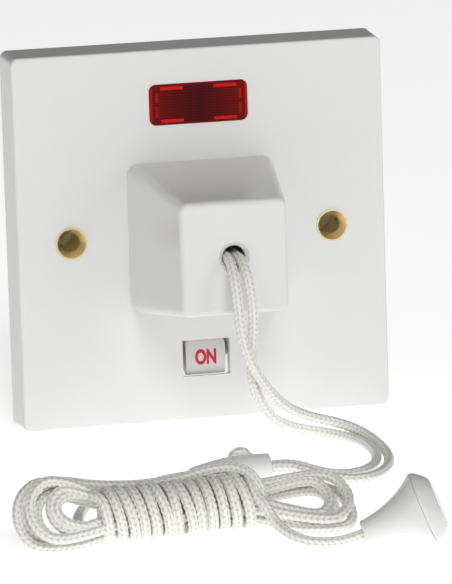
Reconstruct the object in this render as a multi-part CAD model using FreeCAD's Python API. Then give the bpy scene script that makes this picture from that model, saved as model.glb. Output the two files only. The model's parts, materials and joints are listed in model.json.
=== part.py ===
import FreeCAD, Part
import math
import os

# Pull cord switch: a square wall or ceiling plate with a hollow boss, a neon lens and a flag window.
# The plate stands upright on its bottom edge. X runs across it, -Y out of its front, +Z up.
# Origin: bottom centre of the switch without its cord. The plate's front face lies in Y = 0.

Vector = FreeCAD.Vector
os.makedirs("parts", exist_ok=True)

# ---------------------------------------------------------------- driving dimensions, mm
PLATE = 86.0                 # square side at the rim
PLATE_FACE = 85.0            # square side at the front face
PLATE_DEPTH = 10.6
WALL = 2.5
CENTRE_Z = PLATE / 2         # the plate's centre stands this high
REAR = 31.5                  # back of the mechanism

BOSS_DEPTH = 31.5
BOSS_BASE = 17.2             # half side where it leaves the plate
BOSS_HALF_X = 11.95          # half width of its front face
BOSS_HALF_Z = 12.7           # half height of its front face
BOSS_WALL = 2.4
CORD_HOLE = 2.65             # radius

FIXING_X = 30.15             # fixing holes at 60.3 mm centres
EYELET_BORE = 2.1
EYELET_TUBE = 3.0
EYELET_MOUTH = 3.65

LENS_HALF_X = 11.35
LENS_HALF_Z = 4.65
LENS_Z = 30.05               # above the plate's centre
LENS_CORNER = 1.6

WINDOW_HALF_X = 5.45
WINDOW_HALF_Z = 4.15
FLAG_Z = -28.3               # flag spindle, from the plate's centre
FLAG_Y = 12.7
FLAG_RADIUS = 12.0
FLAG_STEP = 42.0             # degrees from the ON tile to the OFF tile

ROCKER_Y = 11.5              # rocker axis, at the plate's centre height
ROCKER_TILT = 12.0           # each way
BLADE_Y = 22.45              # fulcrum of the contact blades
BLADE_TILT = 8.0             # each way
POLE_X = 13.0                # the two poles stand at this distance each side

TERMINAL_BORE = 2.6
GEAR_RATIO = FLAG_STEP / (2 * ROCKER_TILT)
FLAG_TEETH = 16
ROCKER_TEETH = int(FLAG_TEETH * GEAR_RATIO)

CORD = 2.2                   # diameter
STRAND_X = 1.2               # the doubled cord's strands lie this far each side of the hole's centre


# ---------------------------------------------------------------- small tools
def box(x0, x1, y0, y1, z0, z1):
    return Part.makeBox(x1 - x0, y1 - y0, z1 - z0, Vector(x0, y0, z0))


def rod(radius, start, end):
    axis = Vector(*end) - Vector(*start)
    return Part.makeCylinder(radius, axis.Length, Vector(*start), axis)


def cone(radius0, radius1, start, end):
    axis = Vector(*end) - Vector(*start)
    return Part.makeCone(radius0, radius1, axis.Length, Vector(*start), axis)


def rounded_wire(half_x, half_z, corner, y, centre_z=0.0):
    """A rounded rectangle in the plane Y = y."""
    edges = []
    sides = [(1, 1), (-1, 1), (-1, -1), (1, -1)]
    points = []
    for number, (sx, sz) in enumerate(sides):
        middle = Vector(sx * (half_x - corner), y, centre_z + sz * (half_z - corner))
        first = 90.0 * number
        arc = [middle + Vector(corner * math.cos(math.radians(first + step)), 0,
                               corner * math.sin(math.radians(first + step))) for step in (0, 45, 90)]
        points.append(arc)
    for number, arc in enumerate(points):
        edges.append(Part.Arc(*arc).toShape())
        edges.append(Part.makeLine(arc[2], points[(number + 1) % 4][0]))
    return Part.Wire(edges)


def rounded_block(half_x, half_z, corner, y0, y1, centre_z=0.0):
    face = Part.Face(rounded_wire(half_x, half_z, corner, y0, centre_z))
    return face.extrude(Vector(0, y1 - y0, 0))


def tapered_block(half0, corner0, y0, half1, corner1, y1):
    """A rounded frustum between two rounded rectangles, each given as (half_x, half_z)."""
    wires = [rounded_wire(half0[0], half0[1], corner0, y0), rounded_wire(half1[0], half1[1], corner1, y1)]
    return Part.makeLoft(wires, True, True)


def prism_x(outline, x0, x1):
    """A flat outline of (y, z) points, extruded along X."""
    points = [Vector(x0, y, z) for y, z in outline]
    face = Part.Face(Part.makePolygon(points + points[:1]))
    return face.extrude(Vector(x1 - x0, 0, 0))


def sector_x(outer, inner, first, last, x0, x1, y, z):
    """Part of a ring about an X axis, from angle first to last, measured from +Y towards +Z."""
    def at(radius, angle):
        turn = math.radians(angle)
        return Vector(x0, y + radius * math.cos(turn), z + radius * math.sin(turn))
    middle = (first + last) / 2
    outer_arc = Part.Arc(at(outer, first), at(outer, middle), at(outer, last)).toShape()
    if inner > 0:
        inner_arc = Part.Arc(at(inner, last), at(inner, middle), at(inner, first)).toShape()
        edges = [outer_arc, Part.makeLine(at(outer, last), at(inner, last)), inner_arc,
                 Part.makeLine(at(inner, first), at(outer, first))]
    else:
        centre = Vector(x0, y, z)
        edges = [outer_arc, Part.makeLine(at(outer, last), centre), Part.makeLine(centre, at(outer, first))]
    return Part.Face(Part.Wire(edges)).extrude(Vector(x1 - x0, 0, 0))


def gear_sector(pitch_radius, module, teeth, directions, x0, x1, y, z):
    """Involute teeth at the given directions on a solid sector."""
    pressure = math.radians(20)
    base = pitch_radius * math.cos(pressure)
    root = pitch_radius - 1.25 * module
    tip = pitch_radius + 0.9 * module
    backlash = 0.2
    half_pitch_angle = math.pi / (2 * teeth) - backlash / (2 * pitch_radius)
    involute = math.tan(pressure) - pressure

    def half_angle(radius):
        radius = max(radius, base)
        slope = math.acos(base / radius)
        return half_pitch_angle + involute - (math.tan(slope) - slope)

    half_step = 180.0 / teeth
    body = sector_x(root, 0, directions[0] - half_step, directions[-1] + half_step, x0, x1, y, z)
    samples = 6
    for direction in directions:
        flank = []
        for step in range(samples):
            radius = root - 0.3 + (tip - root + 0.3) * step / (samples - 1)
            flank.append((radius, half_angle(radius)))
        outline = []
        for side, order in ((-1, flank), (1, flank[::-1])):
            for radius, angle in order:
                turn = math.radians(direction) + side * angle
                outline.append((y + radius * math.cos(turn), z + radius * math.sin(turn)))
        body = body.fuse(prism_x(outline, x0, x1))
    return body.removeSplitter()


def helix_spring(mean_radius, wire, turns, start, end):
    """A round-wire coil spring from start to end along Y."""
    length = end[1] - start[1] - wire
    path = Part.makeHelix(length / turns, length, mean_radius)
    section = Part.Wire(Part.makeCircle(wire / 2, Vector(mean_radius, 0, 0), Vector(0, 1, 0)))
    spring = Part.Wire(path).makePipeShell([section], True, True)
    spring.rotate(Vector(0, 0, 0), Vector(1, 0, 0), -90)
    spring.translate(Vector(start[0], start[1] + wire / 2, start[2]))
    return spring


def turned(shape, degrees, y, z=0.0):
    """A copy turned about the X axis through (y, z)."""
    copy = shape.copy()
    copy.rotate(Vector(0, y, z), Vector(1, 0, 0), degrees)
    return copy


def mirrored(shape):
    return shape.mirror(Vector(0, 0, 0), Vector(1, 0, 0))


def slotted_screw(head, head_length, shank, shank_length, seat, countersunk=False):
    """A screw along Y with its head at the rear; seat is the underside of the head."""
    x, y, z = seat
    end = (x, y + head_length, z)
    top = cone(shank, head, seat, end) if countersunk else rod(head, seat, end)
    slot = box(x - head - 1, x + head + 1, y + head_length * 0.55, y + head_length + 1, z - 0.35, z + 0.35)
    return top.fuse(rod(shank, (x, y - shank_length, z), seat)).cut(slot)


def save(name, shape):
    shape = shape.removeSplitter() if shape.ShapeType != "Compound" else shape
    solids = shape.Solids
    assert solids, name
    for solid in solids:
        assert solid.isValid() and solid.Volume > 0, name
    out = Part.makeCompound(solids) if len(solids) > 1 else solids[0]
    out.exportStep("parts/" + name + ".step")
    print(name, "solids", len(solids), "volume", round(out.Volume, 2))


def save_centred(name, shape):
    """Save a shape that was drawn about the plate's centre."""
    lifted = shape.copy()
    lifted.translate(Vector(0, 0, CENTRE_Z))
    save(name, lifted)


def save_pair(name, shape):
    """Save a left-hand shape and its mirror image as two nodes."""
    save_centred(name + "_left", shape)
    save_centred(name + "_right", mirrored(shape))


# ---------------------------------------------------------------- faceplate
POST_X = 25.5                # posts that carry the mechanism
POST_Z = 13.0
POST_TOP = 9.0
FLAG_EAR_TOP = 15.8


def eyelet(x):
    tube = rod(EYELET_TUBE, (x, 1.3, 0), (x, PLATE_DEPTH - 0.4, 0))
    mouth = cone(EYELET_MOUTH, EYELET_TUBE, (x, 0, 0), (x, 1.3, 0))
    lip = rod(EYELET_MOUTH, (x, -0.25, 0), (x, 0, 0))
    return tube.fuse(mouth).fuse(lip)


def faceplate():
    shell = tapered_block((PLATE / 2, PLATE / 2), 1.8, PLATE_DEPTH, (PLATE_FACE / 2, PLATE_FACE / 2), 1.6, 0)
    front_edges = [edge for edge in shell.Edges
                   if abs(edge.BoundBox.YMin) < 1e-6 and edge.BoundBox.YLength < 1e-6]
    shell = shell.makeFillet(0.5, front_edges)
    boss = tapered_block((BOSS_BASE, BOSS_BASE), 2.8, 1.0, (BOSS_HALF_X, BOSS_HALF_Z), 1.9, -BOSS_DEPTH)
    nose_edges = [edge for edge in boss.Edges if edge.BoundBox.YMax < -BOSS_DEPTH + 0.01]
    boss = boss.makeFillet(1.35, nose_edges)
    plate = shell.fuse(boss)

    inner = PLATE_FACE / 2 - WALL
    plate = plate.cut(rounded_block(inner, inner, 1.0, WALL, PLATE_DEPTH + 1))
    base = BOSS_BASE - BOSS_WALL
    hollow = tapered_block((base, base), 1.5, WALL + 0.1,
                           (BOSS_HALF_X - BOSS_WALL, BOSS_HALF_Z - BOSS_WALL), 0.8, BOSS_WALL - BOSS_DEPTH)
    plate = plate.cut(hollow)
    plate = plate.cut(rod(CORD_HOLE, (0, -BOSS_DEPTH - 1, 0), (0, -BOSS_DEPTH + 4, 0)))
    plate = plate.cut(cone(3.5, CORD_HOLE, (0, -BOSS_DEPTH, 0), (0, -BOSS_DEPTH + 0.9, 0)))

    plate = plate.cut(rounded_block(LENS_HALF_X, LENS_HALF_Z, LENS_CORNER, -1, WALL + 1, LENS_Z))
    window = (-WINDOW_HALF_X, WINDOW_HALF_X, -1, WALL + 1, FLAG_Z - WINDOW_HALF_Z, FLAG_Z + WINDOW_HALF_Z)
    plate = plate.cut(box(*window))

    for side in (-1, 1):
        plate = plate.fuse(rod(4.6, (side * FIXING_X, WALL - 0.1, 0), (side * FIXING_X, PLATE_DEPTH, 0)))
        plate = plate.cut(eyelet(side * FIXING_X))
        for up in (-1, 1):
            foot = (side * POST_X, WALL - 0.1, up * POST_Z)
            plate = plate.fuse(rod(2.8, foot, (foot[0], POST_TOP, foot[2])))
            plate = plate.cut(rod(1.25, (foot[0], 3.5, foot[2]), (foot[0], POST_TOP, foot[2])))
    for x0, x1 in ((-7.3, -5.7), (8.9, 10.4)):
        plate = plate.fuse(box(x0, x1, WALL - 0.1, FLAG_EAR_TOP, FLAG_Z - 3, FLAG_Z + 3))
    plate = plate.cut(rod(1.0, (-7.3, FLAG_Y, FLAG_Z), (10.4, FLAG_Y, FLAG_Z)))

    # The inside of the front wall is dished round the flag and its teeth.
    plate = plate.cut(rod(FLAG_RADIUS + 0.4, (-5.3, FLAG_Y, FLAG_Z), (5.3, FLAG_Y, FLAG_Z)))
    dish = rod(FLAG_RADIUS + 0.2, (5.0, FLAG_Y, FLAG_Z), (7.7, FLAG_Y, FLAG_Z))
    plate = plate.cut(dish.common(box(5, 8, 0, WALL + 0.1, FLAG_Z + 4.0, FLAG_Z + 12)))
    earth_post = box(-34, -26, WALL - 0.1, 7.0, -33, -25)
    plate = plate.fuse(earth_post)
    return plate.cut(rod(1.5, (-30, 3.5, -29), (-30, 8, -29)))


save_centred("faceplate", faceplate())
for side, word in ((-1, "left"), (1, "right")):
    middle = side * FIXING_X
    bored = eyelet(middle).cut(rod(EYELET_BORE, (middle, -1, 0), (middle, PLATE_DEPTH, 0)))
    bored = bored.cut(cone(EYELET_MOUTH - 0.35, EYELET_BORE, (middle, -0.25, 0), (middle, 1.5, 0)))
    save_centred("fixing_eyelet_" + word, bored)


# ---------------------------------------------------------------- earth terminal
earth_clamp = box(-34, -26, 7.0, 8.2, -33, -25).fuse(box(-34, -32.9, 8.2, 11.0, -33, -25))
earth_clamp = earth_clamp.cut(rod(1.6, (-30, 6, -29), (-30, 9, -29)))
save_centred("earth_terminal", earth_clamp)
save_centred("earth_screw", slotted_screw(2.7, 1.8, 1.45, 4.5, (-30, 8.2, -29)))


# ---------------------------------------------------------------- neon indicator
LENS_FLANGE = 3.7
HOLDER_REAR = 11.5
LAMP_Z = LENS_Z + 1.0
RIBS = 12


def neon_lens():
    gap = 0.08
    plug = rounded_block(LENS_HALF_X - gap, LENS_HALF_Z - gap, LENS_CORNER - gap, -0.35, WALL, LENS_Z)
    rim = [edge for edge in plug.Edges if edge.BoundBox.YMax < -0.3]
    plug = plug.makeFillet(0.3, rim)
    lens = plug.fuse(rounded_block(LENS_HALF_X + 1.05, LENS_HALF_Z + 1.05, 1.2, WALL, LENS_FLANGE, LENS_Z))
    lens = lens.cut(rounded_block(LENS_HALF_X - 1.3, LENS_HALF_Z - 1.1, 0.6, 1.0, LENS_FLANGE + 1, LENS_Z))
    pitch = 2 * (LENS_HALF_Z - 1.1) / RIBS
    for number in range(RIBS):
        low = LENS_Z - (LENS_HALF_Z - 1.1) + (number + 0.25) * pitch
        lens = lens.fuse(box(1.3 - LENS_HALF_X, LENS_HALF_X - 1.3, 0.95, 1.3, low, low + pitch / 2))
    return lens


def lamp_holder():
    holder = box(-LENS_HALF_X, LENS_HALF_X, LENS_FLANGE, HOLDER_REAR, LENS_Z - 5.4, LENS_Z + 5.4)
    holder = holder.cut(box(-10.1, 10.1, LENS_FLANGE - 1, HOLDER_REAR - 1.2, LENS_Z - 4.2, LENS_Z + 4.2))
    for side in (-1, 1):
        lead_x = side * 5
        lead_z = LENS_Z - 2.5
        holder = holder.cut(rod(0.65, (lead_x, HOLDER_REAR - 2, lead_z), (lead_x, HOLDER_REAR + 1, lead_z)))
    return holder


def neon_lamp():
    glass = rod(2.1, (-5, 7, LAMP_Z), (5, 7, LAMP_Z))
    cavity = rod(1.6, (-5, 7, LAMP_Z), (5, 7, LAMP_Z))
    for side in (-1, 1):
        glass = glass.fuse(Part.makeSphere(2.1, Vector(side * 5, 7, LAMP_Z)))
        cavity = cavity.fuse(Part.makeSphere(1.6, Vector(side * 5, 7, LAMP_Z)))
    return glass.cut(cavity)


def electrodes():
    pins = [rod(0.25, (-4.0, 7, LAMP_Z + up * 0.6), (4.0, 7, LAMP_Z + up * 0.6)) for up in (-1, 1)]
    return Part.makeCompound(pins)


def resistor():
    middle = (7.9, LENS_Z - 2.9)
    body = rod(0.9, (-3, *middle), (3, *middle))
    for side in (-1, 1):
        body = body.fuse(rod(1.1, (side * 1.8, *middle), (side * 3.0, *middle)))
    return body


save_centred("neon_lens", neon_lens())
save_centred("lamp_holder", lamp_holder())
save_centred("neon_lamp", neon_lamp())
save_centred("neon_electrodes", electrodes())
save_centred("lamp_resistor", resistor())


# ---------------------------------------------------------------- mechanism housing
BODY_HALF_X = 22.5
BODY_HALF_Z = 16.5
BODY_WALL = 2.0
BODY_FRONT = 2.6
BODY_REAR = REAR - 2.0
STRAP_FRONT = 27.0
STRAP_REAR = 28.4
BLOCK_FRONT = 19.0
BLOCK_HALF_X = 4.5
BLOCK_END = 26.6
COVER_SCREW = (18.6, 12.6)


def mechanism_body():
    shell = box(-BODY_HALF_X, BODY_HALF_X, BODY_FRONT, BODY_REAR, -BODY_HALF_Z, BODY_HALF_Z)
    inner_x = BODY_HALF_X - BODY_WALL
    inner_z = BODY_HALF_Z - BODY_WALL
    shell = shell.cut(box(-inner_x, inner_x, BODY_FRONT + BODY_WALL, BODY_REAR + 1, -inner_z, inner_z))
    for side in (-1, 1):
        for up in (-1, 1):
            post = (side * COVER_SCREW[0], up * COVER_SCREW[1])
            shell = shell.fuse(rod(2.4, (post[0], 19, post[1]), (post[0], BODY_REAR, post[1])))
            shell = shell.cut(rod(0.9, (post[0], 22, post[1]), (post[0], BODY_REAR, post[1])))
            near, far = sorted((side * inner_x, side * (POST_X + 2.8)))
            tab = box(near, far, POST_TOP, POST_TOP + 2, up * POST_Z - 3, up * POST_Z + 3)
            shell = shell.fuse(tab)
            shell = shell.cut(rod(1.35, (side * POST_X, 8, up * POST_Z), (side * POST_X, 12, up * POST_Z)))
            low, high = sorted((up * BODY_HALF_Z, up * (BLOCK_END + 0.4)))
            middle = side * POLE_X
            shell = shell.fuse(box(middle - 5.3, middle + 5.3, 17, BLOCK_FRONT, low, high))
            for edge in (-1, 1):
                rib = middle + edge * (BLOCK_HALF_X + 0.45)
                shell = shell.fuse(box(rib - 0.4, rib + 0.4, 17, 21.5, low, high))
            slot_low, slot_high = sorted((up * (inner_z - 1), up * (BODY_HALF_Z + 1)))
            shell = shell.cut(box(middle - 3.05, middle + 3.05,
                                  STRAP_FRONT - 0.1, BODY_REAR + 1, slot_low, slot_high))
        shell = shell.cut(rod(1.25, (side * 20, ROCKER_Y, 0), (side * 23, ROCKER_Y, 0)))
    shell = shell.cut(box(-6.2, 6.2, BODY_FRONT - 1, BODY_FRONT + BODY_WALL + 1, -6.2, 6.2))
    return shell.cut(box(4.7, 7.6, BODY_FRONT - 1, STRAP_FRONT - 0.5, -BODY_HALF_Z - 1, -11.0))


def four_corners(x, z):
    return [(side * x, up * z) for side in (-1, 1) for up in (-1, 1)]


def cover_screws():
    seats = [(x, REAR - 1.2, z) for x, z in four_corners(*COVER_SCREW)]
    return Part.makeCompound([slotted_screw(1.9, 1.2, 0.85, 7.0, seat, True) for seat in seats])


def rear_cover():
    cover = box(-BODY_HALF_X, BODY_HALF_X, BODY_REAR, REAR, -BODY_HALF_Z, BODY_HALF_Z)
    for x, z in four_corners(*COVER_SCREW):
        seat = (x, REAR - 1.2, z)
        cover = cover.cut(cone(0.85, 1.9, seat, (x, REAR, z)))
        cover = cover.cut(rod(0.9, (x, BODY_REAR - 1, z), seat))
    return cover


save_centred("mechanism_body", mechanism_body())
save_centred("rear_cover", rear_cover())
save_centred("cover_screws", cover_screws())
post_screws = [slotted_screw(2.5, 1.6, 1.2, 6.5, (x, POST_TOP + 2, z))
               for x, z in four_corners(POST_X, POST_Z)]
save_centred("mechanism_screws", Part.makeCompound(post_screws))


# ---------------------------------------------------------------- terminals and contacts
CONTACT_REACH = 12.0         # from the fulcrum to the contact
CONTACT_RADIUS = 2.0
BLADE_THICKNESS = 1.0


def terminal(up, strap_end):
    """A left-hand brass block with a wire tunnel and a strap that ends at the height strap_end."""
    x = -POLE_X
    low, high = sorted((up * (BODY_HALF_Z + 0.1), up * BLOCK_END))
    block = box(x - BLOCK_HALF_X, x + BLOCK_HALF_X, BLOCK_FRONT, STRAP_REAR, low, high)
    strap_low, strap_high = sorted((up * (BODY_HALF_Z + 0.2), strap_end))
    block = block.fuse(box(x - 3, x + 3, STRAP_FRONT, STRAP_REAR, strap_low, strap_high))
    wire_y = BLOCK_FRONT + 1.2 + TERMINAL_BORE
    block = block.cut(rod(TERMINAL_BORE, (x, wire_y, low - 1), (x, wire_y, high + 1)))
    middle = (low + high) / 2
    return block.cut(rod(2.1, (x, wire_y, middle), (x, STRAP_REAR + 1, middle)))


def out_terminal():
    """The bottom terminal, whose strap carries the knife edge that the blade rocks on."""
    edge = BLADE_Y + BLADE_THICKNESS / 2 + 0.12
    outline = [(edge, -0.3), (STRAP_FRONT, -2.0), (STRAP_FRONT, 2.0), (edge, 0.3)]
    wedge = prism_x(outline, -POLE_X - 2.4, -POLE_X + 2.4)
    return terminal(-1, 2.2).fuse(wedge)


TRUNNION_RADIUS = 0.6                     # stubs on both edges that the blade rocks on


def contact_blade():
    half = BLADE_THICKNESS / 2
    blade = box(-POLE_X - 2.5, -POLE_X + 2.5, BLADE_Y - half, BLADE_Y + half, -8.0, 13.9)
    for edge in (-1, 1):
        near, far = sorted((-POLE_X + edge * 2.2, -POLE_X + edge * 2.9))
        blade = blade.fuse(rod(TRUNNION_RADIUS, (near, BLADE_Y, 0), (far, BLADE_Y, 0)))
    return turned(blade, -BLADE_TILT, BLADE_Y)


def contact_disc(first, last):
    low = (-POLE_X, BLADE_Y + first, CONTACT_REACH)
    high = (-POLE_X, BLADE_Y + last, CONTACT_REACH)
    disc = rod(CONTACT_RADIUS, low, high)
    return turned(disc, -BLADE_TILT, BLADE_Y)


def terminal_screws():
    grubs = []
    middle = (BODY_HALF_Z + 0.1 + BLOCK_END) / 2
    for x, z in four_corners(POLE_X, middle):
        grub = rod(2.1, (x, 25.5, z), (x, 30.2, z))
        grubs.append(grub.cut(box(x - 3, x + 3, 29.0, 31, z - 0.4, z + 0.4)))
    return Part.makeCompound(grubs)


for side, word in ((1, "line"), (-1, "neutral")):
    for name, shape in (("in", terminal(1, 10.0)), ("out", out_terminal())):
        save_centred("terminal_" + word + "_" + name, shape if side > 0 else mirrored(shape))
save_centred("terminal_screws", terminal_screws())
save_pair("contact_blade", contact_blade())
save_pair("moving_contact", contact_disc(BLADE_THICKNESS / 2, 1.7))
save_pair("fixed_contact", contact_disc(1.75, 4.6).cut(box(-20, 0, STRAP_FRONT, 40, 0, 30)))


# ---------------------------------------------------------------- rocker with its gear sector and plungers
FLAG_OFFSET = Vector(0, FLAG_Y - ROCKER_Y, FLAG_Z)
CENTRES = FLAG_OFFSET.Length
MODULE = 2 * CENTRES / (FLAG_TEETH + ROCKER_TEETH)
ROCKER_PITCH = MODULE * ROCKER_TEETH / 2
FLAG_PITCH = MODULE * FLAG_TEETH / 2
LINE_ANGLE = math.degrees(math.atan2(FLAG_OFFSET.z, FLAG_OFFSET.y))
GEAR_X = (5.1, 7.3)
PIN_RADIUS = 1.25
BAR_Z = 7.0
BAR_RADIUS = 1.4


def rocker():
    arm = None
    for side in (-1, 1):
        hub = rod(3.4, (side * 3, ROCKER_Y, 0), (side * 19, ROCKER_Y, 0))
        near, far = sorted((side * 3, side * 5.5))
        cheek = box(near, far, ROCKER_Y - 2, ROCKER_Y + 2, -8.4, 8.4)
        x = side * POLE_X
        sleeve = rod(3.0, (x, ROCKER_Y, 0), (x, ROCKER_Y + 8.2, 0))
        piece = hub.fuse(cheek).fuse(sleeve)
        piece = piece.cut(rod(1.85, (x, ROCKER_Y + 2.2, 0), (x, ROCKER_Y + 9, 0)))
        piece = piece.cut(rod(PIN_RADIUS + 0.06, (side * 15.0, ROCKER_Y, 0), (side * 20, ROCKER_Y, 0)))
        arm = piece if arm is None else arm.fuse(piece)
    for up in (-1, 1):
        arm = arm.fuse(rod(BAR_RADIUS, (-3.2, ROCKER_Y, up * BAR_Z), (3.2, ROCKER_Y, up * BAR_Z)))
    arm = turned(arm, ROCKER_TILT, ROCKER_Y)
    step = 360.0 / ROCKER_TEETH
    directions = [LINE_ANGLE + number * step for number in range(4)]
    teeth = gear_sector(ROCKER_PITCH, MODULE, ROCKER_TEETH, directions, *GEAR_X, ROCKER_Y, 0)
    return arm.fuse(teeth)


def contact_plunger(side):
    x = side * POLE_X
    plunger = rod(1.75, (x, ROCKER_Y + 4.8, 0), (x, ROCKER_Y + 8.55, 0))
    plunger = plunger.fuse(Part.makeSphere(1.75, Vector(x, ROCKER_Y + 8.55, 0)))
    return turned(plunger, ROCKER_TILT, ROCKER_Y)


def plunger_spring(side):
    x = side * POLE_X
    spring = helix_spring(1.2, 0.4, 3, (x, ROCKER_Y + 2.2, 0), (x, ROCKER_Y + 4.8, 0))
    return turned(spring, ROCKER_TILT, ROCKER_Y)


save_centred("rocker", rocker())
for side, word in ((-1, "left"), (1, "right")):
    pin = rod(PIN_RADIUS, (side * 15.3, ROCKER_Y, 0), (side * BODY_HALF_X, ROCKER_Y, 0))
    save_centred("rocker_pin_" + word, pin)
    save_centred("contact_plunger_" + word, contact_plunger(side))
    save_centred("plunger_spring_" + word, plunger_spring(side))


# ---------------------------------------------------------------- flag drum and its spindle
def flag_tile(step):
    """A raised tile on the drum; step turns it away from the window."""
    skin = sector_x(FLAG_RADIUS, FLAG_RADIUS - 0.6, 160, 200, -4.55, 4.55, FLAG_Y, FLAG_Z)
    outline = rounded_block(4.55, 3.9, 0.8, -2, FLAG_Y, FLAG_Z)
    return turned(skin.common(outline), step, FLAG_Y, FLAG_Z)


def flag():
    rim = sector_x(FLAG_RADIUS - 0.45, 10.2, 180 - FLAG_STEP - 21, 201, -4.55, 4.55, FLAG_Y, FLAG_Z)
    drum = rim.fuse(flag_tile(0)).fuse(flag_tile(-FLAG_STEP))
    for x0 in (-4.55, 3.35):
        drum = drum.fuse(sector_x(10.3, 0, 180 - FLAG_STEP - 21, 201, x0, x0 + 1.2, FLAG_Y, FLAG_Z))
    drum = drum.fuse(rod(2.4, (-4.9, FLAG_Y, FLAG_Z), (GEAR_X[1], FLAG_Y, FLAG_Z)))
    step = 360.0 / FLAG_TEETH
    middle = LINE_ANGLE + 180
    directions = [middle + (number + 0.5) * step for number in (-3, -2, -1, 0)]
    drum = drum.fuse(gear_sector(FLAG_PITCH, MODULE, FLAG_TEETH, directions, *GEAR_X, FLAG_Y, FLAG_Z))
    return drum.cut(rod(1.06, (-6, FLAG_Y, FLAG_Z), (9, FLAG_Y, FLAG_Z)))


save_centred("flag", flag())
save_centred("flag_spindle", rod(1.0, (-7.3, FLAG_Y, FLAG_Z), (10.4, FLAG_Y, FLAG_Z)))


# ---------------------------------------------------------------- pull slider, guide, return spring and pecker
GUIDE_FRONT = BOSS_WALL - BOSS_DEPTH
GUIDE_INNER = 5.75
SPRING_SEAT = GUIDE_FRONT + 2.2
SPRING_MEAN = 5.0                         # mean coil radius
SPRING_WIRE = 0.9
SPRING_TURNS = 8
NOSE_FRONT = -21.7
COLLAR_FRONT = -9.0
COLLAR_REAR = -5.0
KNOT_FRONT = -17.0
PECKER_Y = 1.0
BARB_Y = PECKER_Y + 21.7


def pull_guide():
    guide = rounded_block(7.4, 7.4, 1.0, GUIDE_FRONT, BODY_FRONT)
    guide = guide.fuse(rounded_block(9.3, 9.3, 1.0, BODY_FRONT - 2.0, BODY_FRONT))
    guide = guide.cut(box(-GUIDE_INNER, GUIDE_INNER, SPRING_SEAT, BODY_FRONT + 1, -GUIDE_INNER, GUIDE_INNER))
    return guide.cut(rod(4.5, (0, GUIDE_FRONT - 1, 0), (0, GUIDE_FRONT + 3, 0)))


def pull_slider():
    slider = rod(4.2, (0, NOSE_FRONT, 0), (0, COLLAR_FRONT, 0))
    slider = slider.fuse(box(-5.6, 5.6, COLLAR_FRONT, COLLAR_REAR, -5.6, 5.6))
    for side in (-1, 1):
        near, far = sorted((side * 2.4, side * 4.4))
        slider = slider.fuse(box(near, far, COLLAR_REAR, PECKER_Y + 2.4, -3, 3))
    slider = slider.cut(rod(CORD_HOLE, (0, NOSE_FRONT - 1, 0), (0, KNOT_FRONT, 0)))
    slider = slider.cut(box(-3.1, 3.1, KNOT_FRONT, KNOT_FRONT + 6.5, -5, 5))
    return slider.cut(rod(0.8, (-5, PECKER_Y, 0), (5, PECKER_Y, 0)))


def pecker():
    eye = rod(2.3, (-2.0, PECKER_Y, 0), (2.0, PECKER_Y, 0))
    stem = box(-2.0, 2.0, PECKER_Y, BARB_Y + 1, -1.3, 1.3)
    head = prism_x([(BARB_Y, -4.6), (BARB_Y + 1.0, -4.6), (BARB_Y + 2.7, -1.3), (BARB_Y + 2.7, 1.3),
                    (BARB_Y + 1.0, 4.6), (BARB_Y, 4.6)], -2.0, 2.0)
    return eye.fuse(stem).fuse(head).cut(rod(0.86, (-3, PECKER_Y, 0), (3, PECKER_Y, 0)))


save_centred("pull_guide", pull_guide())
save_centred("pull_slider", pull_slider())
save_centred("pecker", pecker())
save_centred("pecker_pin", rod(0.8, (-4.4, PECKER_Y, 0), (4.4, PECKER_Y, 0)))
spring = helix_spring(SPRING_MEAN, SPRING_WIRE, SPRING_TURNS, (0, SPRING_SEAT, 0), (0, COLLAR_FRONT, 0))
save_centred("return_spring", spring)
knot = rod(2.95, (0, KNOT_FRONT, 0), (0, KNOT_FRONT + 5.4, 0))
rear_edges = [edge for edge in knot.Edges if edge.BoundBox.YMin > KNOT_FRONT + 1]
save_centred("cord_knot", knot.makeFillet(1.2, rear_edges))


# ---------------------------------------------------------------- lamp leads, held inside the switch
def tube(name, points, diameter):
    """A round tube along straight runs joined by tangent arcs."""
    nodes = [Vector(*point) for point in points]
    runs = [(b - a).Length for a, b in zip(nodes, nodes[1:])]
    edges = []
    radii = []
    start = nodes[0]
    for number in range(1, len(nodes) - 1):
        before = (nodes[number] - nodes[number - 1]).normalize()
        after = (nodes[number + 1] - nodes[number]).normalize()
        turn = math.acos(max(-1, min(1, before.dot(after))))
        reach = 0.45 * min(runs[number - 1], runs[number])
        radius = reach / math.tan(turn / 2)
        radii.append(round(radius, 1))
        first = nodes[number] - before * reach
        last = nodes[number] + after * reach
        inward = (after - before).normalize()
        centre = nodes[number] + inward * (radius / math.cos(turn / 2))
        edges.append(Part.LineSegment(start, first).toShape())
        edges.append(Part.Arc(first, centre - inward * radius, last).toShape())
        start = last
    edges.append(Part.LineSegment(start, nodes[-1]).toShape())
    path = Part.Wire(edges)
    section = Part.Wire(Part.makeCircle(diameter / 2, nodes[0], nodes[1] - nodes[0]))
    solid = path.makePipeShell([section], True, False)
    ideal = math.pi * diameter ** 2 / 4 * path.Length
    print(name, "length", round(path.Length, 1), "radii", radii, "runs", [round(run, 1) for run in runs],
          "volume ratio", round(solid.Volume / ideal, 4))
    return solid


LEAD = 1.1
LEAD_ROUTE = [
    (-5.0, 10.3, 27.55), (-5.0, 14.5, 27.4), (-5.1, 19.0, 25.8), (-5.4, 22.6, 23.2),
    (-6.4, 24.0, 21.6), (-8.5, 24.0, 21.6),
]
lead = tube("lamp lead", LEAD_ROUTE, LEAD)
save_pair("lamp_lead", lead)


# ---------------------------------------------------------------- pull cord, outside the switch
# Routes are heights above the surface the plate stands on. The doubled cord leaves the boss, hangs
# down past it, lands, turns back on itself and runs into the connector behind the hank.
ACROSS = Vector(0.9745, -0.2243, 0)       # the way the connector, hank and pull lie
UP = Vector(0, 0, 1)

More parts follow.
